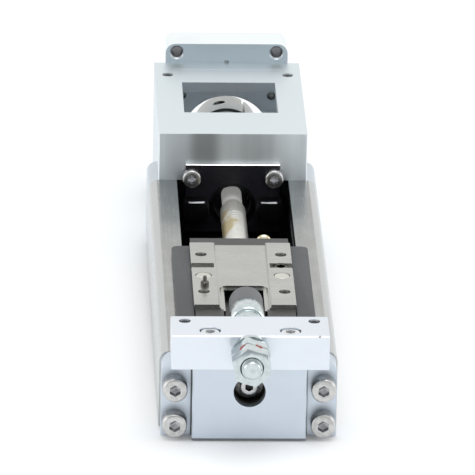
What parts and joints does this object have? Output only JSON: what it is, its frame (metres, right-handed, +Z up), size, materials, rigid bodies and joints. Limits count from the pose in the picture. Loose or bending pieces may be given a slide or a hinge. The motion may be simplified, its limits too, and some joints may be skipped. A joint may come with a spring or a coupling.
{
  "type": "electric slide table",
  "caption": "Compact electric slide table: a ball screw in a U-shaped steel rail drives a low carriage between an adjustable stop and a bracket with a coupling and a motor flange.",
  "frame": {"origin": "middle of the rail's base face, on the mounting surface", "axes": "+X across the rail to the right as seen from the stop end, +Y from the stop end to the motor flange along the screw, +Z up from the base face to the carriage top"},
  "size_m": [0.05, 0.2425, 0.0465],
  "materials": {
    "rail_steel": "ground",
    "housing_aluminium": "satin anodised",
    "bracket_aluminium": "satin anodised",
    "black_oxide": "black oxide",
    "zinc_steel": "zinc plated",
    "rubber": "matt",
    "screw_steel": "plain",
    "bearing_steel": "ground and greased",
    "block_steel": "ground",
    "dark_plastic": "moulded",
    "grey_plastic": "moulded",
    "brass": "turned",
    "coupling_aluminium": "turned"
  },
  "bodies": {
    "base": {"guide_rail": "rail_steel", "front_housing": "housing_aluminium", "rear_housing": "housing_aluminium", "bearing_holder": "black_oxide", "motor_bracket": "bracket_aluminium", "motor_flange": "bracket_aluminium", "stop_plate": "bracket_aluminium", "stop_bolt": "zinc_steel", "stop_bumper": "rubber", "lock_washer": "zinc_steel", "lock_nut_outer": "zinc_steel", "lock_nut_inner": "zinc_steel", "front_housing_screws": "screw_steel", "rear_housing_screws": "screw_steel", "bearing_holder_screws": "screw_steel", "stop_plate_screws": "screw_steel", "bracket_screws": "screw_steel", "flange_screws": "screw_steel", "end_bumpers": "rubber", "front_bearing_outer": "bearing_steel", "rear_bearing_outer": "bearing_steel"},
    "carriage": {"slide_block": "block_steel", "ball_nut": "bearing_steel", "front_end_plate": "dark_plastic", "rear_end_plate": "dark_plastic", "front_end_plate_screws": "screw_steel", "rear_end_plate_screws": "screw_steel", "side_seal_left": "grey_plastic", "side_seal_right": "grey_plastic", "grease_nipple": "brass", "ball_plugs": "block_steel", "set_screw": "black_oxide", "locating_pin": "black_oxide"},
    "screw": {"ball_screw": "bearing_steel", "front_bearing_inner": "bearing_steel", "rear_bearing_inner": "bearing_steel", "bearing_lock_ring": "black_oxide", "screw_end_washer": "zinc_steel", "screw_end_bolt": "screw_steel", "coupling_front_hub": "coupling_aluminium", "coupling_disc": "dark_plastic", "coupling_rear_hub": "coupling_aluminium"}
  },
  "joints": [
    {"name": "screw_spin", "type": "hinge", "parent": "base", "child": "screw", "pos_m": [0, 0, 0.015], "axis": [0, 1, 0], "range_deg": [-7650.5, 3150.5]},
    {"name": "carriage_slide", "type": "slide", "parent": "base", "child": "carriage", "axis": [0, 1, 0], "range_m": [-0.0175, 0.0425]}
  ],
  "couplings": [
    {"joint": "screw_spin", "follows": "carriage_slide", "rad_per_m": -3141.6}
  ]
}
